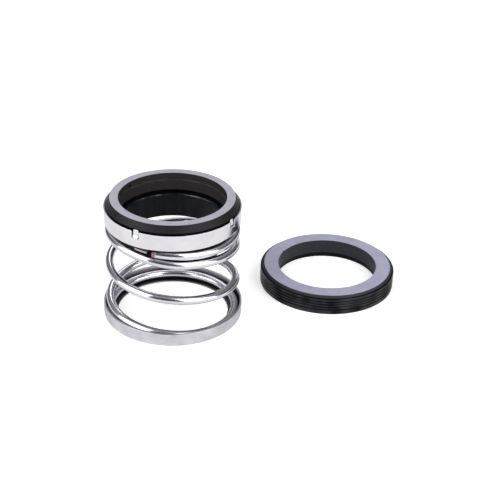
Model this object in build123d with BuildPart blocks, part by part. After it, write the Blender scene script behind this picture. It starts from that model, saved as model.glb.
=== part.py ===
"""Mechanical seal for a 50 mm shaft: a rotating head and its stationary seat.

The head stands on its spring holder, face up, with its axis on Z. The seat lies beside it,
face up, as it is laid out before it is fitted. Units are millimetres, +Z is up, and the origin
is the centre of the spring holder's bore, on the plane that both pieces stand on.
"""
import math
import os

from build123d import *

os.makedirs("parts", exist_ok=True)

# ---------------------------------------------------------------- driving dimensions
shaft_diameter = 50.0

# spring holder: a pressed ring with an upright wall and a floor that the last coil sits on
holder_height = 6.9
holder_sheet = 0.9
holder_shaft_clearance = 3.0
holder_bend_radius = 1.3

# spring: one left-hand coil of round wire. Its first turn lies flat, but for a raised tip that is
# ground level, and steps down under that tip; then come the open turns and a flat last turn.
wire_diameter = 4.2
spring_bore_clearance = 1.1
spring_wall_clearance = 0.45
spring_floor_clearance = 0.15
spring_free_length = 50.0
tip_grind = 0.8
tip_rise = 2.2
tip_turns = 0.25
step_drop = 3.5
step_start_turn = 0.88
step_turns = 0.20
top_closed_turns = 1.065
top_easing_turns = 0.16
active_turns = 2.055
bottom_closed_turns = 0.76
bottom_easing_turns = 0.30
wire_end_angle = -104.2
path_points_per_turn = 16

# thrust ring: a flat washer on the spring's top coil, with a tongue ahead of the wire's end
thrust_clearance = 0.15
thrust_thickness = 0.9
thrust_edge_past_wire_centre = 0.85
thrust_bore_clearance = 0.3
tongue_drop = 2.2
tongue_sheet = 0.9
tongue_angle = 14.0
tongue_gap_angle = 4.2
tongue_corner = 0.8

# drive band: a thin cup round the bellows' head, with tabs bent into the face ring's notches
band_edge_past_spring = 0.25
band_height = 8.5
band_sheet = 0.7
band_lip_width = 2.8
band_bend_radius = 0.9
band_rubber_clearance = 0.05
tab_count = 4
tab_width = 2.8
tab_length = 3.9
tab_lean = 1.1
tab_slit = 0.5
tab_relief_diameter = 0.9
tab_angle = -118.3

# bellows: one rubber moulding, a tail that grips the shaft and a cup for the face ring
bellows_interference = 0.25
bellows_tail_length = 12.6
bellows_tail_wall = 2.8
bellows_neck_wall = 3.6
bellows_neck_length = 2.6
bellows_rim_round = 0.6
bellows_seat_thickness = 2.75
bellows_step = 1.7
bellows_cup_depth = 3.1
bellows_cup_wall = 1.75

# face ring: silicon carbide, with a raised lapped face on a cone-sided nose
face_shaft_clearance = 1.7
face_cone_width = 2.1
face_ring_height = 9.4
face_band_gap = 0.25
face_cone_height = 3.4
face_bore_ledge = 0.3
face_bore_ledge_depth = 3.7
face_seat_clearance = 0.05
notch_clearance = 0.4
notch_depth = 1.2

# seat: a silicon carbide ring in a ribbed rubber cup
seat_shaft_clearance = 0.9
seat_ring_height = 7.7
seat_wall = 6.5
seat_chamfer_width = 1.1
seat_rim_setback = 1.0
seat_flange_side = 0.35
seat_chamfer_height = 1.1
cup_floor = 2.5
cup_wall = 2.85
cup_bore_step = 0.3
cup_fit_clearance = 0.05
cup_edge_round = 0.4
rib_pitch = 1.54
rib_count = 4
groove_depth = 0.5
groove_width = 0.8

# where the seat lies beside the head
seat_x = 80.0
seat_y = 34.0

# ---------------------------------------------------------------- levels and radii
shaft_radius = shaft_diameter / 2
bellows_bore_radius = shaft_radius - bellows_interference
tail_radius = bellows_bore_radius + bellows_tail_wall
neck_radius = bellows_bore_radius + bellows_neck_wall

wire_radius = wire_diameter / 2
coil_radius = neck_radius + spring_bore_clearance + wire_radius
spring_radius = coil_radius + wire_radius
holder_bore_radius = shaft_radius + holder_shaft_clearance
holder_wall_radius = spring_radius + spring_wall_clearance
holder_radius = holder_wall_radius + holder_sheet

coil_bottom = holder_sheet + spring_floor_clearance + wire_radius
spring_top = holder_sheet + spring_free_length
closed_level = spring_top + tip_grind - wire_radius - tip_rise
active_pitch = (closed_level - step_drop - coil_bottom) / active_turns
spring_turns = top_closed_turns + active_turns + bottom_closed_turns

thrust_bottom = spring_top + thrust_clearance
thrust_top = thrust_bottom + thrust_thickness
thrust_bore_radius = neck_radius + thrust_bore_clearance
thrust_radius = coil_radius + thrust_edge_past_wire_centre

band_radius = spring_radius + band_edge_past_spring
band_wall_radius = band_radius - band_sheet
lip_radius = band_wall_radius - band_lip_width
band_bottom = thrust_top
lip_top = band_bottom + band_sheet
band_top = band_bottom + band_height

rubber_radius = band_wall_radius - band_rubber_clearance
cup_wall_radius = rubber_radius - bellows_cup_wall
face_bottom = lip_top + bellows_seat_thickness
rim_top = face_bottom - bellows_step
tail_bottom = rim_top - bellows_tail_length
rubber_top = face_bottom + bellows_cup_depth

face_top = face_bottom + face_ring_height
face_bore_radius = shaft_radius + face_shaft_clearance
face_flange_radius = band_wall_radius - face_band_gap
face_radius = face_flange_radius - face_cone_width
face_body_radius = cup_wall_radius - face_seat_clearance
flange_bottom = rubber_top + face_seat_clearance
cone_bottom = face_top - face_cone_height
groove_radius = face_bore_radius + bellows_rim_round

tab_bottom = band_top - tab_length + tab_slit
tab_top = band_top + tab_slit
notch_radius = band_wall_radius - tab_lean - notch_clearance / 2
notch_top = tab_top + notch_clearance

seat_axis = Axis((seat_x, seat_y, 0), (0, 0, 1))
seat_section = Plane(origin=(seat_x, seat_y, 0), x_dir=(1, 0, 0), z_dir=(0, -1, 0))
seat_bore_radius = shaft_radius + seat_shaft_clearance
seat_body_radius = seat_bore_radius + seat_wall
cup_bore_radius = seat_bore_radius + cup_bore_step
cup_inner_radius = seat_body_radius + cup_fit_clearance
cup_radius = cup_inner_radius + cup_wall
seat_flange_radius = cup_radius - seat_rim_setback
seat_face_radius = seat_flange_radius - seat_chamfer_width
seat_bottom = cup_floor
seat_top = seat_bottom + seat_ring_height
seat_chamfer_bottom = seat_top - seat_chamfer_height
cup_top = seat_chamfer_bottom - seat_flange_side
first_groove = cup_top - rib_pitch * rib_count


def circles_at(part, radius, height):
    """The circular edges of one radius at one height of a turned part."""
    edges = part.edges().filter_by(GeomType.CIRCLE)
    return edges.filter_by(
        lambda e: abs(e.radius - radius) < 0.01 and abs(e.arc_center.Z - height) < 0.01
    )


# ---------------------------------------------------------------- spring holder
with BuildPart() as spring_holder:
    with BuildSketch(Plane.XZ):
        with BuildLine():
            Polyline(
                (holder_bore_radius, 0),
                (holder_radius, 0),
                (holder_radius, holder_height),
                (holder_wall_radius, holder_height),
                (holder_wall_radius, holder_sheet),
                (holder_bore_radius, holder_sheet),
                close=True,
            )
        make_face()
    revolve(axis=Axis.Z)
    fillet(circles_at(spring_holder, holder_radius, 0), holder_bend_radius)
    fillet(circles_at(spring_holder, holder_wall_radius, holder_sheet), holder_bend_radius - holder_sheet)


# ---------------------------------------------------------------- spring
def eased(turns_past, easing_turns):
    """Turns travelled past a change of pitch, rounded off over easing_turns."""
    half = easing_turns / 2
    if turns_past <= -half:
        return 0.0
    if turns_past >= half:
        return turns_past
    return (turns_past + half) ** 2 / (2 * easing_turns)


def coil_height(turn):
    """Height of the wire's centre after so many turns down from its top end."""
    tip = max(0.0, 1 - turn / tip_turns) ** 2
    through_step = min(max((turn - step_start_turn) / step_turns, 0.0), 1.0)
    step = through_step**2 * (3 - 2 * through_step)
    open_turns = eased(turn - top_closed_turns, top_easing_turns)
    open_turns -= eased(turn - top_closed_turns - active_turns, bottom_easing_turns)
    return closed_level + tip_rise * tip - step_drop * step - active_pitch * open_turns


def coil_point(turn):
    angle = math.radians(wire_end_angle + 360 * turn)
    return (coil_radius * math.cos(angle), coil_radius * math.sin(angle), coil_height(turn))


path_steps = round(spring_turns * path_points_per_turn)
coil_points = [coil_point(spring_turns * step / path_steps) for step in range(path_steps + 1)]

with BuildPart() as spring:
    with BuildLine() as coil_path:
        Spline(*coil_points)
    with BuildSketch(Plane(origin=coil_path.line @ 0, z_dir=coil_path.line % 0)):
        Circle(wire_radius)
    sweep(path=coil_path.line)
    # the top tip is ground level
    split(bisect_by=Plane.XY.offset(spring_top), keep=Keep.BOTTOM)


# ---------------------------------------------------------------- thrust ring
tongue_start = wire_end_angle - tongue_gap_angle - tongue_angle
tongue_section = Plane.XZ.rotated((0, 0, tongue_start))

with BuildPart() as thrust_ring:
    with BuildSketch(Plane.XZ):
        with BuildLine():
            Polyline(
                (thrust_bore_radius, thrust_bottom),
                (thrust_radius, thrust_bottom),
                (thrust_radius, thrust_top),
                (thrust_bore_radius, thrust_top),
                close=True,
            )
        make_face()
    revolve(axis=Axis.Z)
    with BuildSketch(tongue_section):
        with Locations((coil_radius, thrust_bottom)):
            Rectangle(tongue_sheet, tongue_drop, align=(Align.CENTER, Align.MAX))
    revolve(axis=Axis.Z, revolution_arc=tongue_angle)
    tongue_edges = thrust_ring.edges().filter_by(GeomType.LINE).group_by(Axis.Z)[0]
    fillet(tongue_edges, tongue_corner)


# ---------------------------------------------------------------- drive band
with BuildPart() as drive_band:
    with BuildSketch(Plane.XZ):
        with BuildLine():
            Polyline(
                (lip_radius, band_bottom),
                (band_radius, band_bottom),
                (band_radius, band_top),
                (band_wall_radius, band_top),
                (band_wall_radius, lip_top),
                (lip_radius, lip_top),
                close=True,
            )
        make_face()
    revolve(axis=Axis.Z)
    fillet(circles_at(drive_band, band_radius, band_bottom), band_bend_radius)
    # the window that each tab is bent out of, with a relief hole at each lower corner
    with PolarLocations(band_radius, tab_count, start_angle=tab_angle):
        with Locations((0, 0, tab_bottom)):
            Box(4 * band_sheet, tab_width + 2 * tab_slit, band_height,
                align=(Align.CENTER, Align.CENTER, Align.MIN), mode=Mode.SUBTRACT)
        for side in (-1, 1):
            with Locations((0, side * (tab_width + tab_slit) / 2, tab_bottom)):
                Cylinder(tab_relief_diameter / 2, 4 * band_sheet, rotation=(0, 90, 0),
                         mode=Mode.SUBTRACT)
    # the tabs, leaning in from the band's wall
    for tab in range(tab_count):
        tab_plane = Plane.XZ.rotated((0, 0, tab_angle + tab * 360 / tab_count))
        with BuildSketch(tab_plane):
            with BuildLine():
                Polyline(
                    (band_wall_radius, tab_bottom - band_sheet),
                    (band_radius, tab_bottom - band_sheet),
                    (band_radius, tab_bottom),
                    (band_radius - tab_lean, tab_top),
                    (band_wall_radius - tab_lean, tab_top),
                    (band_wall_radius, tab_bottom),
                    close=True,
                )
            make_face()
        extrude(amount=tab_width / 2, both=True)


# ---------------------------------------------------------------- bellows
with BuildPart() as bellows:
    with BuildSketch(Plane.XZ):
        with BuildLine():
            Polyline(
                (bellows_bore_radius, tail_bottom),
                (bellows_bore_radius, rim_top),
                (groove_radius - bellows_rim_round, rim_top),
                (groove_radius, rim_top + bellows_rim_round),
                (groove_radius, face_bottom),
                (cup_wall_radius, face_bottom),
                (cup_wall_radius, rubber_top),
                (rubber_radius, rubber_top),
                (rubber_radius, lip_top),
                (lip_radius - band_rubber_clearance, lip_top),
                (lip_radius - band_rubber_clearance, band_bottom),
                (neck_radius, band_bottom),
                (neck_radius, band_bottom - bellows_neck_length),
                (tail_radius, band_bottom - bellows_neck_length - (neck_radius - tail_radius)),
                (tail_radius, tail_bottom),
                close=True,
            )
        make_face()
    revolve(axis=Axis.Z)
    fillet(circles_at(bellows, bellows_bore_radius, rim_top), bellows_rim_round)
    chamfer(circles_at(bellows, bellows_bore_radius, tail_bottom), bellows_rim_round)
    # hollows behind the drive tabs
    with PolarLocations(rubber_radius, tab_count, start_angle=tab_angle):
        with Locations((0, 0, tab_bottom)):
            Box(tab_lean, tab_width + 2 * notch_clearance, bellows_cup_depth,
                align=(Align.CENTER, Align.CENTER, Align.MIN), mode=Mode.SUBTRACT)


# ---------------------------------------------------------------- face ring
with BuildPart() as face_ring:
    with BuildSketch(Plane.XZ):
        with BuildLine():
            Polyline(
                (face_bore_radius - face_bore_ledge, face_bottom),
                (face_body_radius, face_bottom),
                (face_body_radius, flange_bottom),
                (face_flange_radius, flange_bottom),
                (face_flange_radius, cone_bottom),
                (face_radius, face_top),
                (face_bore_radius, face_top),
                (face_bore_radius, face_top - face_bore_ledge_depth),
                (face_bore_radius - face_bore_ledge, face_top - face_bore_ledge_depth - face_bore_ledge),
                close=True,
            )
        make_face()
    revolve(axis=Axis.Z)
    # notches that the drive tabs are bent into
    with PolarLocations(notch_radius, tab_count, start_angle=tab_angle):
        with Locations((0, 0, flange_bottom)):
            Box(notch_depth + tab_lean, tab_width + 2 * notch_clearance, notch_top - flange_bottom,
                align=(Align.MIN, Align.CENTER, Align.MIN), mode=Mode.SUBTRACT)


# ---------------------------------------------------------------- seat ring
with BuildPart() as seat_ring:
    with BuildSketch(seat_section):
        with BuildLine():
            Polyline(
                (seat_bore_radius, seat_bottom),
                (seat_body_radius, seat_bottom),
                (seat_body_radius, cup_top),
                (seat_flange_radius, cup_top),
                (seat_flange_radius, seat_chamfer_bottom),
                (seat_face_radius, seat_top),
                (seat_bore_radius, seat_top),
                close=True,
            )
        make_face()
    revolve(axis=seat_axis)


# ---------------------------------------------------------------- seat cup
with BuildPart() as seat_cup:
    with BuildSketch(seat_section):
        with BuildLine():
            Polyline(
                (cup_bore_radius, 0),
                (cup_radius, 0),
                (cup_radius, cup_top),
                (cup_inner_radius, cup_top),
                (cup_inner_radius, cup_floor),
                (cup_bore_radius, cup_floor),
                close=True,
            )
        make_face()
    revolve(axis=seat_axis)
    fillet(circles_at(seat_cup, cup_radius, 0), cup_edge_round)
    fillet(circles_at(seat_cup, cup_radius, cup_top), cup_edge_round)
    # the grooves between the ribs
    with BuildSketch(seat_section):
        for rib in range(rib_count):
            groove_height = first_groove + rib * rib_pitch
            with BuildLine():
                Polyline(
                    (cup_radius, groove_height - groove_width / 2),
                    (cup_radius - groove_depth, groove_height),
                    (cup_radius, groove_height + groove_width / 2),
                    close=True,
                )
            make_face()
    revolve(axis=seat_axis, mode=Mode.SUBTRACT)


# ---------------------------------------------------------------- labels and files
spring_holder.part.label = "spring_holder"
spring.part.label = "spring"
thrust_ring.part.label = "thrust_ring"
drive_band.part.label = "drive_band"
bellows.part.label = "bellows"
face_ring.part.label = "face_ring"
seat_ring.part.label = "seat_ring"
seat_cup.part.label = "seat_cup"

export_step(spring_holder.part, "parts/spring_holder.step")
export_step(spring.part, "parts/spring.step")
export_step(thrust_ring.part, "parts/thrust_ring.step")
export_step(drive_band.part, "parts/drive_band.step")
export_step(bellows.part, "parts/bellows.step")
export_step(face_ring.part, "parts/face_ring.step")
export_step(seat_ring.part, "parts/seat_ring.step")
export_step(seat_cup.part, "parts/seat_cup.step")
print(f"free length {face_top:.2f}, active pitch {active_pitch:.2f}, spring turns {spring_turns:.2f}")
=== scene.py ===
# %% [markdown]
# # Mechanical seal for a 50 mm shaft
# A mechanical seal keeps a pump's water in where the shaft goes through the casing. Two silicon
# carbide rings run face to face. One turns with the shaft, pushed forward by a coil spring inside
# a rubber bellows, and the other sits still in a rubber cup. This lesson dresses the seal's rigid
# CAD model: each piece gets its real edges, and a finish worked out with nodes.

# %% Load the frame
import math
import random

import bmesh
import bpy
import numpy as np
from mathutils import Euler, Matrix, Vector


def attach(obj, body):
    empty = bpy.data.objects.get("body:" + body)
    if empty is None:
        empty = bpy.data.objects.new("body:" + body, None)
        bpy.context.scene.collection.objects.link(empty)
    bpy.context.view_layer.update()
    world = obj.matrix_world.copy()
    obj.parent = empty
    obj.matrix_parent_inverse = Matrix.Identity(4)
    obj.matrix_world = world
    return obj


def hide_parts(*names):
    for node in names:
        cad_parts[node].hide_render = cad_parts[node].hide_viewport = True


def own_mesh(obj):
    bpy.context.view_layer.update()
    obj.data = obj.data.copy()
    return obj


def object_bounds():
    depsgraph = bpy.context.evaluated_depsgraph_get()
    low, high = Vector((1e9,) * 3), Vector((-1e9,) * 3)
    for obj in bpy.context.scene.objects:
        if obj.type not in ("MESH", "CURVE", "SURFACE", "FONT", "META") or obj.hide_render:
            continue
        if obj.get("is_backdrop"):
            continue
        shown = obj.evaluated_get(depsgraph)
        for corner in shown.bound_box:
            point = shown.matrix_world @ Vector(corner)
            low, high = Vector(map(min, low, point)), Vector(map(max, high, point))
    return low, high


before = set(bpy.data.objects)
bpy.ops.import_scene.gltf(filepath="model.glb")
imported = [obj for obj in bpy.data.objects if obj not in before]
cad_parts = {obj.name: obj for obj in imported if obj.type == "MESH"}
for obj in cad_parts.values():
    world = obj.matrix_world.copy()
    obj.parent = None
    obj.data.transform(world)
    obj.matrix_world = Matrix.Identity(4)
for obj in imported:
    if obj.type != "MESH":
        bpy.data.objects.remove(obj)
cad_box = [list(corner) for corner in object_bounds()]
MM = 0.001
print("solids", sorted(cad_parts))

# %% [markdown]
# ## The camera
# The seal is seen from a little above, from far away with a long lens, as small parts are shown in
# a catalogue. A long lens keeps the round rings as even ellipses. The camera stands on the -Y side
# and looks down by its elevation, with a slight turn about its own line of sight.

# %% Camera
scene = bpy.context.scene
camera_elevation, camera_roll = math.radians(28.354), math.radians(1.429)
camera_distance = 0.64624
camera_target = Vector((0.033445, 0.0, 0.041294))


def placed(name, data):
    """A new object in the scene, from mesh, lamp or camera data."""
    thing = bpy.data.objects.new(name, data)
    scene.collection.objects.link(thing)
    return thing


camera_data = bpy.data.cameras.new("camera")
camera_data.lens = 97.5
camera_data.sensor_width = 36.0
camera = placed("camera", camera_data)
camera.location = camera_target + camera_distance * Vector(
    (0, -math.cos(camera_elevation), math.sin(camera_elevation)))
level_view = Euler((math.pi / 2 - camera_elevation, 0, 0)).to_matrix().to_4x4()
camera.rotation_euler = (level_view @ Matrix.Rotation(camera_roll, 4, "Z")).to_euler()
scene.camera = camera
scene.view_settings.view_transform = "Standard"
print("camera at", [round(value, 3) for value in camera.location])

# %% [markdown]
# ## Writing node trees as sums
# A node tree is easier to read as a formula than as a page of links. Signal stands for one value
# that flows through a tree. Adding, multiplying or subtracting Signals adds Math nodes, and
# node() adds any other kind: it sets the node's settings first, because they decide which sockets
# it has, and then fills its sockets with numbers or with other Signals. The same class serves
# materials and Geometry Nodes.

# %% Signal: one value in a node tree
def find_socket(sockets, key):
    """A socket by its place, its identifier or its name."""
    if isinstance(key, int):
        return sockets[key]
    for socket in sockets:
        if socket.identifier == key:
            return socket
    return sockets[key]


class Signal:
    """A value that flows through a node tree. Signal(tree) is an empty start in that tree."""

    def __init__(self, tree, socket=None):
        self.tree = tree
        self.socket = socket

    def feed(self, socket, value):
        """Gives a socket a link or a number."""
        if isinstance(value, Signal):
            self.tree.links.new(value.socket, socket)
        else:
            socket.default_value = value

    def node(self, kind, settings, values, out=0):
        """Adds a node of a kind, makes its settings, fills its sockets and returns one output."""
        new = self.tree.nodes.new(kind)
        for name, setting in settings.items():
            if name == "stops":
                ramp = new.color_ramp.elements
                while len(ramp) < len(setting):
                    ramp.new(1.0)
                for element, (place, colour) in zip(ramp, setting):
                    element.position = place
                    element.color = colour
            else:
                setattr(new, name, setting)
        for key, value in values.items():
            self.feed(find_socket(new.inputs, key), value)
        return Signal(self.tree, find_socket(new.outputs, out))

    def sum(self, operation, a, b):
        return self.node("ShaderNodeMath", {"operation": operation}, {0: a, 1: b})

    def __add__(self, other):
        return self.sum("ADD", self, other)

    def __radd__(self, other):
        return self.sum("ADD", other, self)

    def __sub__(self, other):
        return self.sum("SUBTRACT", self, other)

    def __rsub__(self, other):
        return self.sum("SUBTRACT", other, self)

    def __mul__(self, other):
        return self.sum("MULTIPLY", self, other)

    def __rmul__(self, other):
        return self.sum("MULTIPLY", other, self)

    def __truediv__(self, other):
        return self.sum("DIVIDE", self, other)

    def __rtruediv__(self, other):
        return self.sum("DIVIDE", other, self)

    def __pow__(self, other):
        return self.sum("POWER", self, other)


print("Signal is ready")

# %% [markdown]
# ## The seal's measurements
# Every piece is dressed over its CAD solid, so both use the same lengths, here in millimetres.
# Radii are from the head's axis, and heights from the plane that it stands on.

# %% Measurements
coil_radius = 31.55
wire_radius = 2.1
spring_top = 50.9
coil_bottom = 3.15
closed_level = 47.4
tip_rise, tip_turns = 2.2, 0.25
step_drop, step_start_turn, step_turns = 3.5, 0.88, 0.20
top_closed_turns, top_easing_turns = 1.065, 0.16
active_turns = 2.055
bottom_closed_turns, bottom_easing_turns = 0.76, 0.30
wire_end_angle = -104.2
spring_turns = top_closed_turns + active_turns + bottom_closed_turns
active_pitch = (closed_level - step_drop - coil_bottom) / active_turns

tab_angle = -118.3
tab_width, tab_slit, tab_lean, tab_relief_radius = 2.8, 0.5, 1.1, 0.45
tab_bottom, tab_top = 57.05, 60.95
band_radius, band_sheet, band_bottom, band_top = 33.9, 0.7, 51.95, 60.45

face_top = 64.8
seat_place = Vector((80.0, 34.0, 0.0))
seat_top = 10.2
print("open turns climb", round(active_pitch, 2), "mm each, of", round(spring_turns, 2), "turns in all")

# %% [markdown]
# ## Turned pieces
# Most of a seal is turned or pressed: a section goes once round an axis. On the real pieces no
# corner is perfectly sharp, and the thin line of light that runs along a broken edge is what
# makes a ring look like metal or ceramic. So each section is written as its corners, each with
# its own small radius, and the corners are rounded before the section is spun.

# %% Rounded sections
def rounded(corners, steps=5):
    """The points of a closed section from corners of (radius, height, corner radius)."""
    points = []
    for index, (r, z, bend) in enumerate(corners):
        corner = Vector((r, z))
        to_last = (Vector(corners[index - 1][:2]) - corner).normalized()
        to_next = (Vector(corners[(index + 1) % len(corners)][:2]) - corner).normalized()
        half_angle = to_last.angle(to_next) / 2
        if bend == 0:
            points.append(corner)
            continue
        tangent = bend / math.tan(half_angle)
        centre = corner + (to_last + to_next).normalized() * bend / math.sin(half_angle)
        start = corner + to_last * tangent - centre
        end = corner + to_next * tangent - centre
        sweep = math.pi - 2 * half_angle
        for step in range(steps + 1):
            share = step / steps
            arc = start * math.sin((1 - share) * sweep) + end * math.sin(share * sweep)
            points.append(centre + arc / math.sin(sweep))
    return points


square = [(1, 0, 0.1), (2, 0, 0.1), (2, 1, 0.1), (1, 1, 0.1)]
print("a square with round corners has", len(rounded(square)), "points")


# %% Spinning a section
def turned(name, section, place=Vector(), segments=240):
    """A closed section spun round the upright axis through place, as a mesh object."""
    mesh = bpy.data.meshes.new(name)
    work = bmesh.new()
    rings = []
    for step in range(segments):
        angle = 2 * math.pi * step / segments
        direction = Vector((math.cos(angle), math.sin(angle), 0))
        rings.append([
            work.verts.new((place + direction * point.x + Vector((0, 0, point.y))) * MM)
            for point in section])
    for step in range(segments):
        ring, following = rings[step], rings[(step + 1) % segments]
        for index in range(len(section)):
            after = (index + 1) % len(section)
            work.faces.new((ring[index], following[index], following[after], ring[after]))
    bmesh.ops.recalc_face_normals(work, faces=work.faces)
    work.to_mesh(mesh)
    work.free()
    mesh.shade_smooth()
    return placed(name, mesh)


def made_mesh(piece):
    """Turns a piece's modifiers into plain mesh."""
    evaluated = piece.evaluated_get(bpy.context.evaluated_depsgraph_get())
    mesh = bpy.data.meshes.new_from_object(evaluated)
    piece.modifiers.clear()
    piece.data = mesh
    mesh.name = piece.name


def ease_edges(piece, width):
    """Takes the sharpness off a piece's hard edges."""
    easing = piece.modifiers.new("eased edges", "BEVEL")
    easing.width = width * MM
    easing.segments = 2
    easing.limit_method = "ANGLE"
    easing.angle_limit = math.radians(50)


def settle(piece, material, edge_angle=35):
    """Makes a piece plain mesh with one material, and keeps its flats flat beside round edges."""
    made_mesh(piece)
    piece.data.shade_smooth()
    piece.data.set_sharp_from_angle(angle=math.radians(edge_angle))
    weighted = piece.modifiers.new("even shading", "WEIGHTED_NORMAL")
    weighted.mode = "FACE_AREA"
    weighted.keep_sharp = True
    made_mesh(piece)
    piece.data.materials.clear()
    piece.data.materials.append(material)
    print(piece.name, "has", len(piece.data.polygons), "faces")


print("turned and settle are ready")

# %% [markdown]
# ## How a finish is put together
# Each finish is one Principled shader. The numbers that hold all over the surface are set on it
# directly, and a recipe works out what changes from place to place: colour, roughness and bump.
# Turned and pressed pieces carry fine rings from the tool, so most recipes need a place on a ring:
# its direction from the axis, its radius and its height, all in millimetres.

# %% Finishes and places on a ring
def finish(name, fixed, recipe):
    """A material from fixed shader numbers and a recipe for what changes over the surface."""
    material = bpy.data.materials.new(name)
    material.use_nodes = True
    shader = material.node_tree.nodes["Principled BSDF"]
    for socket, value in fixed.items():
        shader.inputs[socket].default_value = value
    start = Signal(material.node_tree)
    changing = recipe(start)
    for socket, value in changing.items():
        start.feed(shader.inputs[socket], value)
    print(name, "varies in", ", ".join(changing))
    return material


def split(spot):
    """The x, y and z of a vector."""
    return [spot.node("ShaderNodeSeparateXYZ", {}, {0: spot}, axis) for axis in "XYZ"]


def ring_place(start, centre=(0.0, 0.0, 0.0)):
    """The spot in mm, its unit direction x and y from the axis, its radius and its height."""
    spot = start.node("ShaderNodeTexCoord", {}, {}, "Object")
    spot = start.node("ShaderNodeMapping", {"vector_type": "POINT"}, {
        "Vector": spot, "Location": [-value for value in centre], "Scale": (1 / MM, 1 / MM, 1 / MM)})
    x, y, z = split(spot)
    radius = (x * x + y * y) ** 0.5
    return spot, x / radius, y / radius, radius, z


def vector(start, x, y, z):
    """A vector from three numbers or Signals."""
    return start.node("ShaderNodeCombineXYZ", {}, {"X": x, "Y": y, "Z": z})


def vector_math(operation, *vectors, out="Vector"):
    """One step of arithmetic on whole vectors."""
    return vectors[0].node(
        "ShaderNodeVectorMath", {"operation": operation}, dict(enumerate(vectors)), out)


def noise(start, spot, scale, detail=3.0, roughness=0.5):
    """Noise about 0.5, at a scale in cycles per unit of spot."""
    return start.node("ShaderNodeTexNoise", {"noise_dimensions": "3D"}, {
        "Vector": spot, "Scale": scale, "Detail": detail, "Roughness": roughness}, "Fac")


def tool_rings(start, centre=(0.0, 0.0, 0.0), per_mm=6.0, round_change=3.0):
    """Noise in fine rings about the axis, as a lathe or a polishing wheel leaves them."""
    _, along_x, along_y, radius, height = ring_place(start, centre)
    stretched = vector(start, along_x * round_change, along_y * round_change, (radius + height) * per_mm)
    return noise(start, stretched, 1.0, 4.0, 0.6)


def blend(start, share, first, second):
    """Mixes two colours. A Math node would turn them grey, so colours go through Mix."""
    return start.node("ShaderNodeMix", {"data_type": "RGBA"}, {
        "Factor_Float": share, "A_Color": first, "B_Color": second}, "Result_Color")


def step_from(start, value, low, high):
    """0 below low, 1 above high, and a smooth way between."""
    return start.node("ShaderNodeMapRange", {"interpolation_type": "SMOOTHSTEP"}, {
        "Value": value, "From Min": low, "From Max": high}, "Result")


def between(start, value, rise, fall):
    """1 between two edges. Each edge is a pair: where it begins and where it ends."""
    return step_from(start, value, *rise) * (1 - step_from(start, value, *fall))


def bump(start, height, depth):
    """A bumped normal: height runs from 0 to 1 and depth is in millimetres."""
    return start.node("ShaderNodeBump", {}, {"Strength": 1.0, "Distance": depth * MM, "Height": height})


def rgb(red, green, blue):
    return (red, green, blue, 1.0)


# %% [markdown]
# ## Polished steel for the drive band
# The band is deep-drawn from bright sheet and buffed on a wheel, so it is close to a mirror. What
# tells it from a computer's mirror is very fine rings, a soft cloudiness where it was handled, and
# a slightly warmer tone in the cloud.

# %% Polished steel
def polished_steel_recipe(start):
    spot = ring_place(start)[0]
    rings = tool_rings(start, per_mm=9.0, round_change=2.0)
    clouds = noise(start, spot, 0.11, 3.0, 0.55)
    scuffs = noise(start, spot, 0.9, 5.0, 0.7)
    return {
        "Base Color": blend(start, step_from(start, clouds, 0.35, 0.7),
                            rgb(0.80, 0.785, 0.81), rgb(0.75, 0.725, 0.745)),
        "Roughness": 0.07 + 0.10 * step_from(start, clouds, 0.4, 0.7) + 0.05 * rings + 0.04 * scuffs,
        "Normal": bump(start, rings + 0.6 * scuffs, 0.0016),
    }


polished_steel = finish("polished_steel", {"Metallic": 1.0}, polished_steel_recipe)


# %% [markdown]
# ## Satin steel for the spring holder
# The holder is pressed from the same sheet but only tumbled, which leaves it satin: brighter and
# darker patches are smeared out, and the surface has a faint grain. Inside, the wall is painted
# darker towards the floor, as painted shade in the corner under the coil.

# %% Satin steel
def satin_steel_recipe(start):
    spot, _, _, radius, height = ring_place(start)
    rings = tool_rings(start, per_mm=5.0, round_change=6.0)
    grain = noise(start, spot, 2.4, 4.0, 0.7)
    clouds = noise(start, spot, 0.13, 2.0, 0.5)
    rubbed = 0.55 * clouds + 0.45 * grain
    outside = blend(start, step_from(start, rubbed, 0.36, 0.64),
                    rgb(0.69, 0.68, 0.71), rgb(0.53, 0.52, 0.56))
    # Painted shade: the inner wall and floor are painted darker towards the floor, under the coil.
    inside = (1 - step_from(start, radius, 34.1, 34.3)) * step_from(start, height, 0.3, 0.8)
    painted_inner_shade = blend(start, step_from(start, height, 2.6, 6.4),
                 rgb(0.10, 0.095, 0.10), rgb(0.44, 0.43, 0.45))
    return {
        "Base Color": blend(start, inside, outside, painted_inner_shade),
        "Roughness": 0.24 + 0.12 * grain + 0.08 * clouds,
        "Normal": bump(start, 0.5 * rings + grain, 0.005),
    }


satin_steel = finish("satin_steel", {"Metallic": 1.0}, satin_steel_recipe)


# %% [markdown]
# ## Drawn wire for the spring
# Spring wire is pulled through a die, and the die scores faint lines along it. They follow the
# wire round the coil, so they can't be made from a place in space: the spring's own node tree
# stores on each point where it is round the wire and how far along it is, and this recipe reads
# that. Where the wire was sheared off, the heat and the torn edge leave a brownish pink end.

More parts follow.
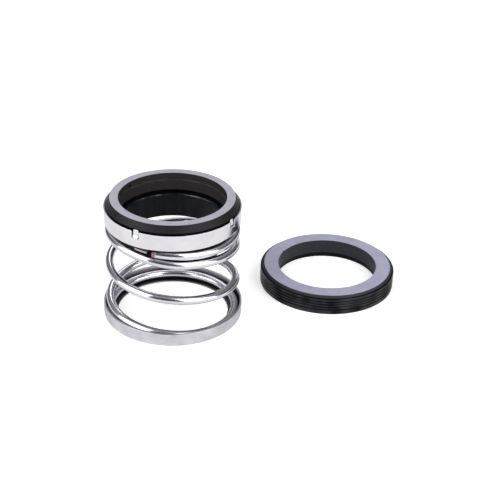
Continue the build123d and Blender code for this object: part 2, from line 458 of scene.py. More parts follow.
# %% Drawn wire
def drawn_wire_recipe(start):
    spot = start.node("ShaderNodeAttribute", {"attribute_name": "wire_spot"}, {}, "Vector")
    _, _, along = split(spot)
    die_lines = noise(start, vector_math("MULTIPLY", spot, (4.0, 4.0, 0.012)), 1.0, 5.0, 0.65)
    patches = noise(start, vector_math("MULTIPLY", spot, (0.7, 0.7, 0.045)), 1.0, 3.0, 0.5)
    sheared = 1 - step_from(start, along, 1.2, 2.0)
    steel = blend(start, step_from(start, patches, 0.35, 0.7),
                  rgb(0.78, 0.77, 0.81), rgb(0.64, 0.63, 0.68))
    return {
        "Base Color": blend(start, sheared, steel, rgb(0.31, 0.20, 0.19)),
        "Roughness": 0.12 + 0.06 * patches + 0.04 * die_lines + 0.3 * sheared,
        "Normal": bump(start, die_lines, 0.0006),
    }


drawn_wire = finish("drawn_wire", {"Metallic": 1.0}, drawn_wire_recipe)


# %% [markdown]
# ## Heat-tinted steel for the thrust ring
# The thrust ring is a bright washer whose outer edge is painted black, as painted shade in the gap
# under the band. Its tongue was bent down hot, so it is brown all round, and painted darker still
# as painted shade in the gaps round it; only its middle was wiped bright again, with one dark
# scratch along it.

# %% Washer steel
tongue_middle, tongue_half = math.radians(-115.4), math.radians(7.0)
tongue_bottom, tongue_fall = 49.09, 0.36


def washer_steel_recipe(start):
    spot, along_x, along_y, radius, height = ring_place(start)
    rings = tool_rings(start, per_mm=5.0, round_change=5.0)
    grain = noise(start, spot, 3.0, 4.0, 0.7)
    facing = along_x * math.cos(tongue_middle) + along_y * math.sin(tongue_middle)
    sideways = along_y * math.cos(tongue_middle) - along_x * math.sin(tongue_middle)
    above = height + sideways * (tongue_fall / math.sin(tongue_half)) - tongue_bottom
    bright = between(start, above, (0.1, 0.25), (0.9, 1.08)) * step_from(
        start, facing, math.cos(tongue_half * 0.9), math.cos(tongue_half * 0.75))
    scratch = between(start, above, (0.44, 0.52), (0.60, 0.68))
    tongue = step_from(start, radius, 30.9, 31.0) * (1 - step_from(start, height, 50.95, 51.0))
    # The tongue is brown with heat tint, and darkened further as painted shade in the gaps round it.
    heat_tint_and_shade = tongue * (1 - bright * (1 - 0.85 * scratch))
    # Painted shade: past r 32.1 the washer's outer edge is painted near black, for the gap under the
    # band.
    steel = blend(start, step_from(start, radius, 32.1, 32.3),
                  rgb(0.58, 0.55, 0.56), rgb(0.010, 0.009, 0.009))
    return {
        "Base Color": blend(start, heat_tint_and_shade, steel, rgb(0.060, 0.032, 0.027)),
        "Roughness": 0.22 + 0.12 * grain + 0.2 * heat_tint_and_shade,
        "Normal": bump(start, 0.4 * rings + grain, 0.003),
    }


washer_steel = finish("washer_steel", {"Metallic": 1.0}, washer_steel_recipe)


# %% [markdown]
# ## Silicon carbide for the two rings
# Silicon carbide comes from the furnace almost black, a little warm, with tiny pores. Its bore and
# flanks are only ground. The running face is lapped on a flat plate until it is flat to a few
# light bands, and then it looks lighter, lavender and silky. So the lapped face is told from the
# rest by its height, and each of the two rings gives the recipe its own.

# %% Silicon carbide
def silicon_carbide(name, face_height, ground_tones, lapped_tones, centre=(0.0, 0.0, 0.0),
                    ledge=None, joint=None, pits=()):
    """The ledge is a height in the bore, with a lighter line painted on it as a painted highlight. The
    joint is a low and a high height, painted near black as painted shade in the gap under the band.
    """
    def recipe(start):
        spot, along_x, along_y, radius, height = ring_place(start, centre)
        rings = tool_rings(start, centre, per_mm=7.0, round_change=4.0)
        speckle = noise(start, spot, 4.5, 3.0, 0.6)
        pores = step_from(start, noise(start, spot, 6.0, 2.0, 0.5), 0.66, 0.74)
        clouds = noise(start, spot, 0.16, 3.0, 0.55)
        lapped = step_from(start, height, face_height - 0.16, face_height - 0.04)
        ground = blend(start, step_from(start, 0.6 * speckle + 0.4 * rings, 0.35, 0.65), *ground_tones)
        if ledge is not None:
            in_bore = 1 - step_from(start, radius, 27.1, 27.4)
            bloom = 0.5 * in_bore * step_from(start, speckle, 0.3, 0.6)
            ground = blend(start, bloom, ground, rgb(0.044, 0.039, 0.038))
            # Painted highlight: a lighter line is painted along the bore's ledge, broken up by noise.
            line = between(start, height, (ledge - 0.28, ledge - 0.12), (ledge + 0.02, ledge + 0.16))
            ledge_highlight_breakup = noise(start, vector(start, along_x * 6.0, along_y * 6.0, 0.0), 1.0, 3.0, 0.6)
            ledge_highlight_breakup = step_from(start, ledge_highlight_breakup, 0.32, 0.6) * step_from(start, clouds, 0.36, 0.56)
            ground = blend(start, line * in_bore * ledge_highlight_breakup, ground, rgb(0.070, 0.060, 0.055))
        if joint is not None:
            # Painted shade: the flank behind and just above the band's rim is painted near black.
            low, high = joint
            painted_joint_shade = between(start, height, (low - 0.1, low), (high - 0.1, high + 0.15))
            painted_joint_shade = painted_joint_shade * step_from(start, radius, 31.5, 31.7)
            ground = blend(start, painted_joint_shade, ground, rgb(0.001, 0.001, 0.001))
        silky = blend(start, step_from(start, clouds, 0.3, 0.7), *lapped_tones)
        silky = blend(start, 0.35 * pores, silky, rgb(0.20, 0.19, 0.22))
        colour = blend(start, lapped, ground, silky)
        # Painted shade: round each chip the ceramic is painted near black, where its crater is in shade.
        for x, y, z, size in pits:
            away = vector_math("DISTANCE", spot, (x, y, z), out="Value") + 0.9 * size * (speckle - 0.5)
            painted_pit_shade = 1 - step_from(start, away, 0.4 * size, size)
            colour = blend(start, painted_pit_shade, colour, rgb(0.001, 0.001, 0.001))
        return {
            "Base Color": colour,
            "Roughness": 0.42 - 0.12 * lapped + 0.12 * speckle,
            "Normal": bump(start, (0.6 * rings + 0.5 * speckle) * (1 - 0.85 * lapped), 0.006),
        }
    return finish(name, {"IOR": 1.5, "Specular IOR Level": 0.19}, recipe)


head_pits = [(-22.3, 14.6, 62.3), (-26.6, -18.2, 62.7)]
head_carbide = silicon_carbide(
    "silicon_carbide_head", face_top,
    (rgb(0.008, 0.0073, 0.0073), rgb(0.0195, 0.0178, 0.0172)),
    (rgb(0.44, 0.43, 0.49), rgb(0.50, 0.49, 0.55)),
    ledge=61.0, joint=(58.5, 60.9), pits=[(*head_pits[0], 1.3), (*head_pits[1], 1.1)])
seat_carbide = silicon_carbide(
    "silicon_carbide_seat", seat_top,
    (rgb(0.024, 0.025, 0.031), rgb(0.038, 0.040, 0.048)),
    (rgb(0.42, 0.415, 0.54), rgb(0.48, 0.475, 0.60)), tuple(seat_place))


# %% [markdown]
# ## Moulded rubber
# Rubber takes the skin of its mould. The bellows' mould was polished, so it is blue-black and
# shows the mould's turning marks as faint rings, with soft lighter streaks painted over it as
# painted sheen, and the rounded lip of its bore, wiped with grease for fitting, shines. The seat's
# cup came from a plainer mould and is even blacker, with the same painted sheen, but the crests
# of its ribs are rubbed to a thin grey line.

# %% Rubber
def moulded_rubber(name, colour, painted_sheen_colour, gloss, shine, centre=(0.0, 0.0, 0.0)):
    """Shine gives the share of bright coating from the radius and the height."""
    def recipe(start):
        spot, along_x, along_y, radius, height = ring_place(start, centre)
        rings = tool_rings(start, centre, per_mm=2.5, round_change=1.5)
        streaks = noise(start, vector(start, along_x * 5.0, along_y * 5.0, height * 0.05), 1.0, 3.0, 0.6)
        grain = noise(start, spot, 5.0, 4.0, 0.7)
        # Painted sheen: soft lighter streaks are painted into the rubber's colour.
        painted_streak_share = step_from(start, 0.75 * streaks + 0.25 * grain, 0.42, 0.66)
        return {
            "Base Color": blend(start, painted_streak_share, colour, painted_sheen_colour),
            "Roughness": gloss + 0.10 * streaks + 0.08 * grain,
            "Coat Weight": shine(start, radius, height) * step_from(start, streaks, 0.36, 0.56),
            "Normal": bump(start, 0.7 * rings + 0.3 * grain, 0.006),
        }
    fixed = {"IOR": 1.5, "Specular IOR Level": 0.13, "Coat IOR": 1.6, "Coat Roughness": 0.1}
    return finish(name, fixed, recipe)


def greased_lip(start, radius, height):
    return step_from(start, height, 53.0, 53.3) * (1 - step_from(start, radius, 25.9, 26.3))


def rubbed_ribs(start, radius, height):
    return 0.6 * step_from(start, radius, 35.05, 35.25)


bellows_rubber = moulded_rubber(
    "bellows_rubber", rgb(0.0025, 0.003, 0.0045), rgb(0.009, 0.0105, 0.015), 0.24, greased_lip)
cup_rubber = moulded_rubber(
    "cup_rubber", rgb(0.0016, 0.0017, 0.003), rgb(0.004, 0.0042, 0.007), 0.30, rubbed_ribs,
    tuple(seat_place))

# %% [markdown]
# ## Light, floor and air
# Metal shows what stands round it, so its surroundings are part of its finish. Two tall soft
# panels stand in front, one on each side of the camera. The wire shows each of them as a long
# white streak, and the dark gap between them as a dark patch where it faces the camera. Behind
# the seal are two windows, one high on the left and one low on the right, and each draws a thin
# bright line down the sides of the coils. The walls are dim, and darkest near the table, so the
# undersides of the wire stay dark. The table is white paper with a little light of its own, which
# keeps it white to the frame's edge round a soft shadow. The metal gets a quarter of that light,
# for the lamps light the table well already, and then the metal shows a white table too.

# %% World
world = bpy.data.worlds.new("room")
world.use_nodes = True
scene.world = world
air = Signal(world.node_tree)
look_x, look_y, look_z = split(air.node("ShaderNodeTexCoord", {}, {}, "Generated"))


def ray(start, kind):
    """1 for the rays of one kind, such as "Is Camera Ray"."""
    return start.node("ShaderNodeLightPath", {}, {}, kind)


def wall(stops):
    """One side of the room, in greys from the table's height (0) to straight overhead (1)."""
    greys = [(height, (grey, grey, grey * 1.08, 1)) for height, grey in stops]
    return air.node("ShaderNodeValToRGB", {"stops": greys}, {"Fac": look_z}, "Color")


left_wall = wall([(0.0, 0.08), (0.25, 0.14), (0.42, 0.22), (0.6, 0.30), (1.0, 0.32)])
right_wall = wall([(0.0, 0.06), (0.25, 0.10), (0.42, 0.16), (0.6, 0.26), (1.0, 0.32)])
front_wall = wall([(0.0, 0.12), (0.15, 0.07), (0.7, 0.08), (0.88, 0.24), (1.0, 0.32)])
back_wall = blend(air, step_from(air, look_x, 0.02, 0.30), left_wall, right_wall)
room = blend(air, step_from(air, look_y, 0.0, -0.4), back_wall, front_wall)
room = blend(air, ray(air, "Is Camera Ray") + ray(air, "Is Transmission Ray"), room, rgb(1, 1, 1))
backdrop = world.node_tree.nodes["Background"].inputs
air.feed(backdrop["Color"], room)
backdrop["Strength"].default_value = 1.0
print("the room is set")

# %% Floor
table_radius, mirror_share = 0.88, 0.25
floor_mesh = bpy.data.meshes.new("floor")
tabletop = bmesh.new()
bmesh.ops.create_circle(tabletop, cap_ends=True, segments=180, radius=table_radius)
tabletop.to_mesh(floor_mesh)
tabletop.free()
floor = placed("floor", floor_mesh)
floor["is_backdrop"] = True


def floor_white_recipe(table):
    paper = noise(table, table.node("ShaderNodeTexCoord", {}, {}, "Object"), 400.0, 2.0, 0.5)
    glow = ray(table, "Is Camera Ray") + ray(table, "Is Transmission Ray")
    glow = glow + mirror_share * ray(table, "Is Glossy Ray")
    return {
        "Base Color": blend(table, paper, rgb(0.86, 0.86, 0.86), rgb(0.90, 0.90, 0.90)),
        "Emission Color": blend(table, glow, rgb(0.02, 0.02, 0.02), rgb(0.52, 0.52, 0.52)),
    }


floor_white = finish("floor_white", {
    "Roughness": 1.0, "Specular IOR Level": 0.0, "Emission Strength": 1.0}, floor_white_recipe)
floor_mesh.materials.append(floor_white)
print("the table is", round(floor.dimensions.x, 2), "m wide")

# %% Lamps
panel_distance = 0.9


def soft_panel(name, direction, width, foot, height, glow):
    """An upright soft panel. Its glow is how bright it looks, whatever its size."""
    around = math.radians(direction)
    panel_data = bpy.data.lights.new(name, "AREA")
    panel_data.shape = "RECTANGLE"
    panel_data.size = width
    panel_data.size_y = height
    panel_data.energy = glow * math.pi * width * height
    panel = placed(name, panel_data)
    panel.location = (
        panel_distance * math.cos(around), panel_distance * math.sin(around), foot + height / 2)
    panel.rotation_euler = (math.pi / 2, 0, around + math.pi / 2)
    panel.visible_camera = False


soft_panel("left panel", -151, 1.0, 0.01, 2.4, 2.4)
soft_panel("right panel", -38, 0.96, 0.01, 2.4, 2.55)
soft_panel("high window", 98, 0.30, 0.66, 0.32, 2.4)
soft_panel("low window", 71, 0.28, 0.05, 0.22, 0.9)
print("two soft panels and two windows")

# %% [markdown]
# ## The spring, by its law
# The seal's spring is one left-hand coil. Its first turn lies flat under the thrust ring, but the
# wire's tip is raised and ground level, and where the turn comes round to that tip it steps down
# beneath it. Then the open turns fall evenly, and the last turn lies flat on the holder's floor.
# All of this is a height for each turn of the wire, so Geometry Nodes can make it: a line of
# points is lifted on to that law, a circle is swept along it, and the sizes stay open to change
# as named inputs.

# %% A new node tree
def geometry_tree(name, inputs):
    """A Geometry Nodes tree with named inputs, and its entry Signals."""
    tree = bpy.data.node_groups.new(name, "GeometryNodeTree")
    tree.interface.new_socket("Geometry", in_out="INPUT", socket_type="NodeSocketGeometry")
    for input_name, kind in inputs.items():
        tree.interface.new_socket(input_name, in_out="INPUT", socket_type="NodeSocket" + kind)
    tree.interface.new_socket("Material", in_out="INPUT", socket_type="NodeSocketMaterial")
    tree.interface.new_socket("Geometry", in_out="OUTPUT", socket_type="NodeSocketGeometry")
    entry = tree.nodes.new("NodeGroupInput")
    given = {socket.name: Signal(tree, socket) for socket in entry.outputs if socket.name}
    return tree, given


def close_tree(given, geometry):
    """Ends a tree in real geometry with its material."""
    real = geometry.node("GeometryNodeRealizeInstances", {}, {"Geometry": geometry})
    real = real.node("GeometryNodeSetMaterial", {}, {"Geometry": real, "Material": given["Material"]})
    exit_node = real.tree.nodes.new("NodeGroupOutput")
    real.feed(exit_node.inputs["Geometry"], real)


def grow(piece, tree, values):
    """Adds a tree to a piece as a modifier and fills in its named inputs."""
    modifier = piece.modifiers.new(tree.name, "NODES")
    modifier.node_group = tree
    for item in tree.interface.items_tree:
        if item.in_out == "INPUT" and item.name in values:
            modifier[item.identifier] = values[item.name]


print("node trees can be started, closed and grown")


# %% The coil's law in nodes
def limited(value, low, high):
    return value.node("ShaderNodeClamp", {}, {"Value": value, "Min": low, "Max": high})


def eased(turns_past, easing_turns):
    """Turns travelled past a change of pitch, rounded off over easing_turns."""
    half = easing_turns * 0.5
    within = limited(turns_past, 0 - half, half)
    beyond = turns_past.sum("MAXIMUM", turns_past - half, 0.0)
    return (within + half) ** 2 / (2 * easing_turns) + beyond


coil_tree, coil = geometry_tree("coil_spring", {"Rings": "Int", "Sides": "Int"} | dict.fromkeys((
    "Coil Radius", "Wire Radius", "Turns", "End Angle", "Closed Level", "Tip Rise", "Tip Turns",
    "Step Drop", "Step Start", "Step Turns", "Closed Turns", "Top Easing", "Open Turns",
    "Bottom Easing", "Open Pitch"), "Float"))
index = Signal(coil_tree).node("GeometryNodeInputIndex", {}, {})
turn = index / coil["Rings"] * coil["Turns"]
tip = limited(1 - turn / coil["Tip Turns"], 0.0, 1.0) ** 2
stepped = index.node("ShaderNodeMapRange", {"interpolation_type": "SMOOTHSTEP"}, {
    "Value": turn, "From Min": coil["Step Start"], "From Max": coil["Step Start"] + coil["Step Turns"]})
opened = (eased(turn - coil["Closed Turns"], coil["Top Easing"])
          - eased(turn - coil["Closed Turns"] - coil["Open Turns"], coil["Bottom Easing"]))
level = (coil["Closed Level"] + coil["Tip Rise"] * tip - coil["Step Drop"] * stepped
         - coil["Open Pitch"] * opened)
angle = coil["End Angle"] + 2 * math.pi * turn
on_coil = vector(
    index,
    coil["Coil Radius"] * angle.sum("COSINE", angle, 0.0),
    coil["Coil Radius"] * angle.sum("SINE", angle, 0.0),
    level)
print("the law has", len(coil_tree.nodes), "nodes")

# %% Sweeping the wire
def stored(geometry, name, kind, value):
    """Stores a value on each point of a geometry, under a name."""
    return geometry.node("GeometryNodeStoreNamedAttribute", {"data_type": kind, "domain": "POINT"}, {
        "Geometry": geometry, "Name": name, "Value": value})


line = index.node("GeometryNodeMeshLine", {"mode": "OFFSET"}, {
    "Count": coil["Rings"] + 1, "Offset": (0, 0, 1)})
path = line.node("GeometryNodeMeshToCurve", {}, {"Mesh": line})
path = path.node("GeometryNodeSetPosition", {}, {"Geometry": path, "Position": on_coil})
path = stored(path, "along", "FLOAT", turn * coil["Coil Radius"] * (2 * math.pi / MM))
section = path.node("GeometryNodeCurvePrimitiveCircle", {"mode": "RADIUS"}, {
    "Resolution": coil["Sides"], "Radius": coil["Wire Radius"]})
here = section.node("GeometryNodeInputPosition", {}, {})
section = stored(section, "wire_spot", "FLOAT_VECTOR", vector_math("NORMALIZE", here))
wire = path.node("GeometryNodeCurveToMesh", {}, {
    "Curve": path, "Profile Curve": section, "Fill Caps": True})
round_it = wire.node("GeometryNodeInputNamedAttribute", {"data_type": "FLOAT_VECTOR"}, {
    "Name": "wire_spot"})
along_it = wire.node("GeometryNodeInputNamedAttribute", {"data_type": "FLOAT"}, {"Name": "along"})
wire = stored(wire, "wire_spot", "FLOAT_VECTOR",
              vector_math("ADD", round_it, vector(wire, 0.0, 0.0, along_it)))
wire = wire.node("GeometryNodeSetShadeSmooth", {}, {"Geometry": wire})
close_tree(coil, wire)
print("the tree has", len(coil_tree.nodes), "nodes")

# %% The spring
spring = placed("spring_wire", bpy.data.meshes.new("spring_wire"))
grow(spring, coil_tree, {
    "Coil Radius": coil_radius * MM, "Wire Radius": wire_radius * MM, "Turns": spring_turns,
    "End Angle": math.radians(wire_end_angle), "Closed Level": closed_level * MM,
    "Tip Rise": tip_rise * MM, "Tip Turns": tip_turns, "Step Drop": step_drop * MM,
    "Step Start": step_start_turn, "Step Turns": step_turns, "Closed Turns": top_closed_turns,
    "Top Easing": top_easing_turns, "Open Turns": active_turns, "Bottom Easing": bottom_easing_turns,
    "Open Pitch": active_pitch * MM, "Rings": 496, "Sides": 32, "Material": drawn_wire})
made_mesh(spring)
print("the swept wire has", len(spring.data.polygons), "faces")

# %% [markdown]
# The raised tip is ground off level, so that the washer above has something flat to sit on. A
# cutting plane does what the grinding wheel does, and its opening is filled. Then the rims of the
# ground flat and of both sheared ends are eased a little, for a file has been round them.

# %% Grinding the tip and easing the ends
work = bmesh.new()
work.from_mesh(spring.data)
bmesh.ops.bisect_plane(
    work, geom=work.verts[:] + work.edges[:] + work.faces[:], dist=1e-7,
    plane_co=(0, 0, spring_top * MM), plane_no=(0, 0, 1), clear_outer=True)
rim = [edge for edge in work.edges if edge.is_boundary]
bmesh.ops.holes_fill(work, edges=rim, sides=0)
bmesh.ops.recalc_face_normals(work, faces=work.faces)
ends = [edge for edge in work.edges
        if len(edge.link_faces) == 2 and edge.calc_face_angle() > math.radians(50)]
bmesh.ops.bevel(work, geom=ends, offset=0.16 * MM, segments=2, affect="EDGES", clamp_overlap=True)
work.to_mesh(spring.data)
work.free()
settle(spring, drawn_wire, 40)
heights = [vertex.co.z for vertex in spring.data.vertices]
print("the wire runs from", round(min(heights) / MM, 2), "to", round(max(heights) / MM, 2), "mm")
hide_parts("spring")
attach(spring, "base")
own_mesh(spring)

# %% [markdown]
# ## The spring holder
# The holder is a shallow pressed dish with a hole in its floor. The last coil lies in it. The
# sheet turns up round its own bend radius outside, and its rims were tumbled round.

# %% Spring holder
holder = turned("spring_holder_steel", rounded([
    (28.0, 0.0, 0.15), (35.0, 0.0, 1.3), (35.0, 6.9, 0.22), (34.1, 6.9, 0.22),
    (34.1, 0.9, 0.4), (28.0, 0.9, 0.15)], 6))
settle(holder, satin_steel)
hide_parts("spring_holder")
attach(holder, "base")

# %% [markdown]
# ## The thrust ring and its tongue
# A flat washer spreads the spring's push under the band. Its tongue is bent down ahead of the
# wire's sheared end, so that the spring can't creep round. The washer is turned, and the tongue is
# a short piece of the same sheet that follows the ring. Its foot slopes as the turn below it does,
# which leaves room for that turn to come up when the spring is pressed together.

# %% Thrust ring
thrust = turned("thrust_ring_steel", rounded([
    (28.65, 51.05, 0.12), (32.4, 51.05, 0.2), (32.4, 51.95, 0.12), (28.65, 51.95, 0.12)], 4))
work = bmesh.new()
work.from_mesh(thrust.data)
columns = []
tongue_steps, tongue_inside, tongue_outside, tongue_root = 16, 31.1, 32.0, 51.3
for step in range(tongue_steps + 1):
    share = step / tongue_steps * 2 - 1
    angle = tongue_middle + tongue_half * share
    corner_rise = 0.8 * (1 - math.sqrt(max(0.0, 1 - max(0.0, (abs(share) - 0.77) / 0.23) ** 2)))
    foot = tongue_bottom - tongue_fall * share + corner_rise
    columns.append([
        work.verts.new(Vector((r * math.cos(angle), r * math.sin(angle), z)) * MM)
        for r, z in ((tongue_inside, tongue_root), (tongue_inside, foot),
                     (tongue_outside, foot), (tongue_outside, tongue_root))])
for left, right in zip(columns, columns[1:]):
    for corner in range(4):
        after = (corner + 1) % 4
        work.faces.new((left[corner], right[corner], right[after], left[after]))
work.faces.new(columns[0])
work.faces.new(columns[-1])
bmesh.ops.recalc_face_normals(work, faces=work.faces)
work.to_mesh(thrust.data)
work.free()
ease_edges(thrust, 0.12)
settle(thrust, washer_steel, 50)
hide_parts("thrust_ring")
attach(thrust, "head")

# %% [markdown]
# ## Four of everything
# The band's tabs, the face ring's notches and the hollows in the rubber all come four times round
# the axis, in line with each other. One small tree makes that so for all of them: it sets copies
# of a shape at even turns about the axis, makes them real and welds them where they meet.

# %% The repeat tree
repeat_tree, repeat = geometry_tree("repeat_round_axis", {"Count": "Int", "Weld Distance": "Float"})
spots = Signal(repeat_tree).node("GeometryNodeMeshLine", {"mode": "OFFSET"}, {
    "Count": repeat["Count"], "Offset": (0, 0, 0)})
share_of_turn = spots.node("GeometryNodeInputIndex", {}, {}) / repeat["Count"]
turn_to = spots.node("FunctionNodeAxisAngleToRotation", {}, {
    "Axis": (0, 0, 1), "Angle": share_of_turn * (2 * math.pi)})
copies = spots.node("GeometryNodeInstanceOnPoints", {}, {
    "Points": spots, "Instance": repeat["Geometry"], "Rotation": turn_to})
copies = copies.node("GeometryNodeRealizeInstances", {}, {"Geometry": copies})
copies = copies.node("GeometryNodeMergeByDistance", {}, {
    "Geometry": copies, "Distance": repeat["Weld Distance"]})
close_tree(repeat, copies)
print("the repeat tree has", len(repeat_tree.nodes), "nodes")


# %% Cutting a shape out four times
tab_count = 4


def box_mesh(name, low, high, angle):
    """A box from low to high in mm, turned about the axis to an angle in degrees."""
    corners = [(x, y, z)
               for z in (low[2], high[2]) for y in (low[1], high[1]) for x in (low[0], high[0])]
    mesh = bpy.data.meshes.new(name)
    mesh.from_pydata([Vector(corner) * MM for corner in corners], [], [
        (0, 2, 3, 1), (4, 5, 7, 6), (0, 1, 5, 4), (2, 6, 7, 3), (0, 4, 6, 2), (1, 3, 7, 5)])
    mesh.transform(Matrix.Rotation(math.radians(angle), 4, "Z"))
    return placed(name, mesh)


def cut(piece, tool):
    """Cuts a tool's shape out of a piece."""
    cutting = piece.modifiers.new("cut", "BOOLEAN")
    cutting.operation = "DIFFERENCE"
    cutting.solver = "EXACT"
    cutting.object = tool
    made_mesh(piece)
    bpy.data.objects.remove(tool)


def cut_round(piece, tool, material):
    """Repeats a cutting tool round the axis and cuts it out of a piece."""
    grow(tool, repeat_tree, {"Count": tab_count, "Weld Distance": 1e-7, "Material": material})
    made_mesh(tool)
    cut(piece, tool)


def chip(piece, place, size, seed):
    """Breaks a small uneven chip out of a brittle piece, with its middle at the place."""
    rough = random.Random(seed)
    lump = bmesh.new()
    bmesh.ops.create_icosphere(lump, subdivisions=2, radius=size * MM)
    for corner in lump.verts:
        corner.co = corner.co * rough.uniform(0.75, 1.15) + Vector(place) * MM
    tool_mesh = bpy.data.meshes.new("chip")
    lump.to_mesh(tool_mesh)
    lump.free()
    cut(piece, placed("chip", tool_mesh))


print("shapes can be cut out", tab_count, "times round the axis")

# %% [markdown]
# ## The drive band and its tabs
# The band is a thin cup that holds the rubber's head. At four places its rim is slit twice, down
# to a small drilled hole that stops the slit from tearing, and the tab between the slits is bent
# into a notch of the face ring. So the band drives the ring round. It is made as the sheet that it
# is: one quarter of the outer skin, with its slit cells left out and its tab leaned in, is
# repeated four times and given the sheet's thickness, and its edges are eased.

# %% One quarter of the band's skin
bend_radius = 0.9
slit_middle = (tab_width + tab_slit) / 2
hole_bottom = tab_bottom - tab_relief_radius

skin_line = [(r, band_bottom) for r in (30.6, 31.4, 32.2, 32.7)]
for step in range(8):
    bend_angle = math.radians(-90 + 90 * step / 7)
    skin_line.append((band_radius - bend_radius + bend_radius * math.cos(bend_angle),
                      band_bottom + bend_radius + bend_radius * math.sin(bend_angle)))
wall_rows = [53.6, 54.4, 55.2, 56.0, 56.35, hole_bottom, 56.66, 56.8, tab_bottom, 57.25, 57.38, 57.43]
wall_rows += [57.6, 57.8, 58.0, 58.2, 58.4, 58.7, 59.1, 59.5, 59.9, 60.2, band_top]
skin_line += [(band_radius, height) for height in wall_rows]

columns_right = [0, 0.5, 0.95, "tab side", "wall side", 2.4, 2.9]
columns_right += list(np.linspace(3.8, band_radius * math.pi / tab_count, 28))
columns = [(-1, place) for place in reversed(columns_right[1:])]
columns += [(1, place) for place in columns_right]
print("the skin has", len(skin_line), "rows and", len(columns), "columns a quarter")


# %% Slits, relief holes and the tab's bend
def slit_half_width(height):
    """Half the slit's width: a round hole at its foot, and plain sheet below that."""
    if height < hole_bottom - 1e-6:
        return tab_slit / 2
    in_hole = math.sqrt(max(0.0, tab_relief_radius ** 2 - (height - tab_bottom) ** 2))
    return max(in_hole, tab_slit / 2 if height > tab_bottom else 0.1)


def skin_point(column, row):
    """A point of the skin. The tab steps inward over a knee, and then stands almost straight."""
    side, place = columns[column]
    radius, height = skin_line[row]
    on_tab = place == "tab side" or (place != "wall side" and place < slit_middle)
    if place == "tab side":
        place = slit_middle - slit_half_width(height)
    elif place == "wall side":
        place = slit_middle + slit_half_width(height)
    if on_tab and height > tab_bottom:
        rise = (height - tab_bottom) / (band_top - tab_bottom)
        knee = min(rise / 0.3, 1.0)
        radius -= tab_lean * (0.3 * knee * knee * (3 - 2 * knee) + 0.5 * rise)
        height += (tab_top - band_top) * rise
    angle = math.radians(tab_angle) + side * place / band_radius
    return Vector((radius * math.cos(angle), radius * math.sin(angle), height)) * MM


def in_slit(column, row):
    beside = {columns[column][1], columns[column + 1][1]}
    return beside == {"tab side", "wall side"} and skin_line[row][1] > hole_bottom - 1e-6


work = bmesh.new()
skin = [[work.verts.new(skin_point(column, row)) for row in range(len(skin_line))]
        for column in range(len(columns))]
for column in range(len(columns) - 1):
    for row in range(len(skin_line) - 1):
        if not in_slit(column, row):
            work.faces.new((skin[column][row], skin[column + 1][row],
                            skin[column + 1][row + 1], skin[column][row + 1]))
rim_corners = [skin[column][-1] for column in range(len(columns))
               if isinstance(columns[column][1], str)]
bmesh.ops.bevel(work, geom=rim_corners, offset=0.35 * MM, segments=3, affect="VERTICES")
band_mesh = bpy.data.meshes.new("drive_band_steel")
work.to_mesh(band_mesh)
work.free()
band = placed("drive_band_steel", band_mesh)
print("one quarter has", len(band_mesh.polygons), "cells and", len(rim_corners), "round corners")

# %% The whole band and its thickness
grow(band, repeat_tree, {"Count": tab_count, "Weld Distance": 2e-6, "Material": polished_steel})
sheet = band.modifiers.new("sheet", "SOLIDIFY")
sheet.thickness = band_sheet * MM
sheet.offset = -1
sheet.use_even_offset = True
made_mesh(band)
ease_edges(band, 0.09)
settle(band, polished_steel, 40)
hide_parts("drive_band")
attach(band, "head")

# %% [markdown]
# ## The bellows
# One rubber moulding: a tail that grips the shaft, and a cup that holds the face ring. Its inner
# rim is round, so that it slides over the shaft's end. It is turned like the steel, and hollowed
# behind the tabs.

# %% Bellows
bellows = turned("bellows_rubber", rounded([
    (24.75, 41.1, 0.5), (24.75, 53.7, 0.85), (26.5, 53.7, 0.25), (26.8, 53.2, 0.1),
    (28.8, 53.2, 0.2), (28.8, 55.4, 0.1), (31.4, 55.4, 0.1), (31.4, 58.5, 0.25),
    (33.15, 58.5, 0.3), (33.15, 52.65, 0.3), (30.35, 52.65, 0.1), (30.35, 51.95, 0.1),
    (28.35, 51.95, 0.1), (28.35, 49.35, 0.25), (27.55, 48.55, 0.25), (27.55, 41.1, 0.5)]))
hollow = box_mesh("hollow", (32.2, -1.8, tab_bottom), (33.9, 1.8, 60.15), tab_angle)
cut_round(bellows, hollow, bellows_rubber)
settle(bellows, bellows_rubber)
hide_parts("bellows")
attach(bellows, "head")

# %% [markdown]
# ## The face ring
# A silicon carbide ring with a cone-sided nose. Only the nose's flat top runs against the seat, so
# that is the lapped face. Four notches in its flange take the band's tabs. Ceramic edges are
# ground with a small chamfer, because a sharp one would chip.

# %% Face ring
face_ring = turned("face_ring_carbide", rounded([
    (26.4, 55.4, 0.2), (31.35, 55.4, 0.3), (31.35, 58.55, 0.1), (32.95, 58.55, 0.2),
    (32.95, 59.3, 0.1), (32.1, 59.6, 0.1), (32.1, 60.8, 0.15), (32.85, 61.15, 0.15),
    (32.75, 61.55, 0.2), (30.85, 64.8, 0.14), (26.7, 64.8, 0.14), (26.7, 61.1, 0.1),
    (26.4, 60.8, 0.1)], 4))
notch = box_mesh("notch", (31.9, -1.8, 57.0), (34.5, 1.8, 61.35), tab_angle)
cut_round(face_ring, notch, head_carbide)
ease_edges(face_ring, 0.1)
made_mesh(face_ring)
chip(face_ring, head_pits[0], 0.8, 4)
chip(face_ring, head_pits[1], 0.6, 5)
settle(face_ring, head_carbide)
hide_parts("face_ring")
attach(face_ring, "head")

# %% [markdown]
# ## The seat
# The ring that sits still. Its face is wider than the face ring's, so the running track never
# reaches an edge, and the rim beyond it is chamfered. There is one small nick in the edge of its
# bore, where it was knocked: an uneven little ball cut out of the edge, as ceramic chips.

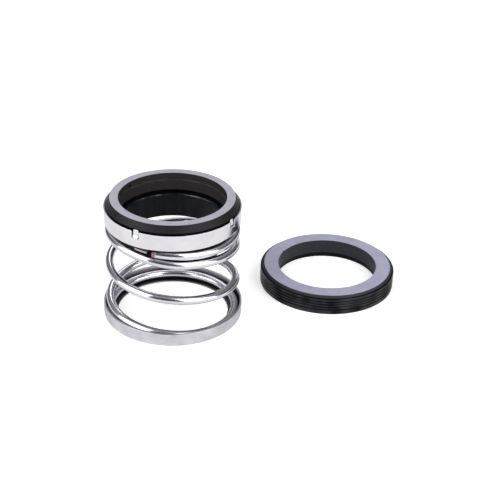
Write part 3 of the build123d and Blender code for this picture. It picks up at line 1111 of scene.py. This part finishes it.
# %% Seat ring
seat_ring = turned("seat_ring_carbide", rounded([
    (25.9, 2.5, 0.25), (32.4, 2.5, 0.25), (32.4, 8.75, 0.1), (34.3, 8.75, 0.12), (34.3, 9.1, 0.12),
    (33.2, 10.2, 0.16), (25.9, 10.2, 0.16)], 4), seat_place)
chip(seat_ring, (57.35, 46.05, 10.2), 0.95, 6)
settle(seat_ring, seat_carbide)
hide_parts("seat_ring")
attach(seat_ring, "base")

# %% [markdown]
# ## The ribbed cup
# The cup seals against the pump's casing with four ribs, which flatten when it is pushed in. A
# plain cup is turned first, with close rows up its wall. Then a tree presses grooves into it by a
# rule: how deep a point goes depends only on its distance from the nearest groove.

# %% The groove tree
groove_tree, groove = geometry_tree("rib_grooves", {
    "Centre": "Vector", "First Groove": "Float", "Pitch": "Float", "Count": "Int", "Depth": "Float",
    "Width": "Float", "Wall Radius": "Float"})
spot = Signal(groove_tree).node("GeometryNodeInputPosition", {}, {})
x, y, z = split(vector_math("SUBTRACT", spot, groove["Centre"]))
out_from_axis = (x * x + y * y) ** 0.5
nearest = (z - groove["First Groove"]) / groove["Pitch"]
nearest = limited(nearest.sum("ROUND", nearest, 0.0), 0.0, groove["Count"] - 1)
miss = z - groove["First Groove"] - nearest * groove["Pitch"]
depth_share = spot.node("ShaderNodeMapRange", {"interpolation_type": "SMOOTHERSTEP"}, {
    "Value": miss.sum("ABSOLUTE", miss, 0.0), "From Min": groove["Width"] * 0.5, "From Max": 0.0})
on_wall = out_from_axis.sum("GREATER_THAN", out_from_axis, groove["Wall Radius"] - 0.45 * MM)
inward = depth_share * on_wall * groove["Depth"] / out_from_axis
pressed = spot.node("GeometryNodeSetPosition", {}, {
    "Geometry": groove["Geometry"], "Offset": vector(spot, 0 - x * inward, 0 - y * inward, 0.0)})
close_tree(groove, pressed)
print("the groove tree has", len(groove_tree.nodes), "nodes")

# %% Seat cup
cup_radius, wall_row_count = 35.3, 76
cup_section = rounded([(26.2, 0.0, 0.3), (cup_radius, 0.0, 0.45), (cup_radius, 8.75, 0.35),
                       (32.45, 8.75, 0.2), (32.45, 2.5, 0.1), (26.2, 2.5, 0.3)])
dense_section = []
for point, following in zip(cup_section, cup_section[1:] + cup_section[:1]):
    dense_section.append(point)
    if min(point.x, following.x) > cup_radius - 0.01 and abs(point.y - following.y) > 1:
        dense_section += [
            point.lerp(following, row / wall_row_count) for row in range(1, wall_row_count)]
seat_cup = turned("seat_cup_rubber", dense_section, seat_place)
grow(seat_cup, groove_tree, {
    "Centre": seat_place * MM, "First Groove": 2.59 * MM, "Pitch": 1.54 * MM, "Count": 4,
    "Depth": 0.5 * MM, "Width": 0.9 * MM, "Wall Radius": cup_radius * MM, "Material": cup_rubber})
settle(seat_cup, cup_rubber)
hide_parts("seat_cup")
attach(seat_cup, "base")

# %% [markdown]
# ## Measuring and finishing
# The dressed seal's box is measured, and printed beside the CAD model's box, in millimetres.
# The dressed seal has to fill the same box as the CAD model.

visual_box = [list(corner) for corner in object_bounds()]
for name, box in (("cad", cad_box), ("visual", visual_box)):
    print(name, [[round(value / MM, 2) for value in corner] for corner in box])
